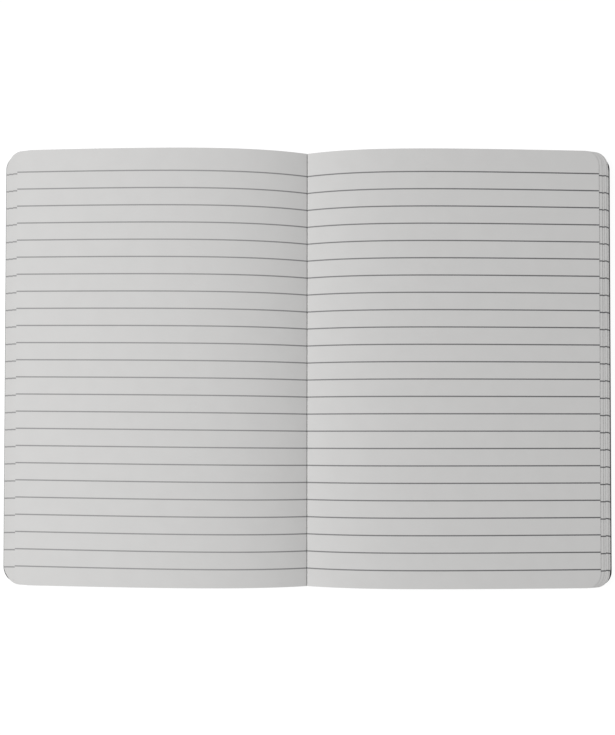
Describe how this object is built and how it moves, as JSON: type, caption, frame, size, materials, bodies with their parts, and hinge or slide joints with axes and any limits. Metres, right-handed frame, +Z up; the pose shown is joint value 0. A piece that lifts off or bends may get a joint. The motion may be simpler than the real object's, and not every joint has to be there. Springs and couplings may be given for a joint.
{
  "type": "open composition notebook",
  "caption": "Sewn notebook lying open flat, with two rounded boards, a cloth spine tape and ruled pages that arch from the fold and fan out at the fore-edge.",
  "frame": {"origin": "under the fold, on the surface the open notebook lies on, midway up the page", "axes": "+X across the spread from the fold to the right page's fore-edge, +Y up the page, +Z up from the surface"},
  "size_m": [0.2862, 0.204, 0.0097],
  "materials": {
    "spine_cloth": "black book cloth, plain weave, matt",
    "thread": "white cotton sewing thread",
    "cover_board": "black pressed board, slightly mottled, satin",
    "page_paper": "uncoated white writing paper, matt",
    "ruling_ink": "thin grey printed line, matt"
  },
  "bodies": {
    "back_half": {"back_cover": "cover_board", "right_pages": "page_paper", "right_ruling": "ruling_ink", "spine_tape": "spine_cloth", "sewing_thread": "thread"},
    "front_half": {"front_cover": "cover_board", "left_pages": "page_paper", "left_ruling": "ruling_ink"}
  },
  "joints": [
    {"name": "cover_hinge", "type": "hinge", "parent": "back_half", "child": "front_half", "pos_m": [0, 0, 0.00585], "axis": [0, 1, 0], "range_deg": [0, 180], "deforming": ["left_pages", "right_pages", "left_ruling", "right_ruling", "spine_tape"]}
  ]
}
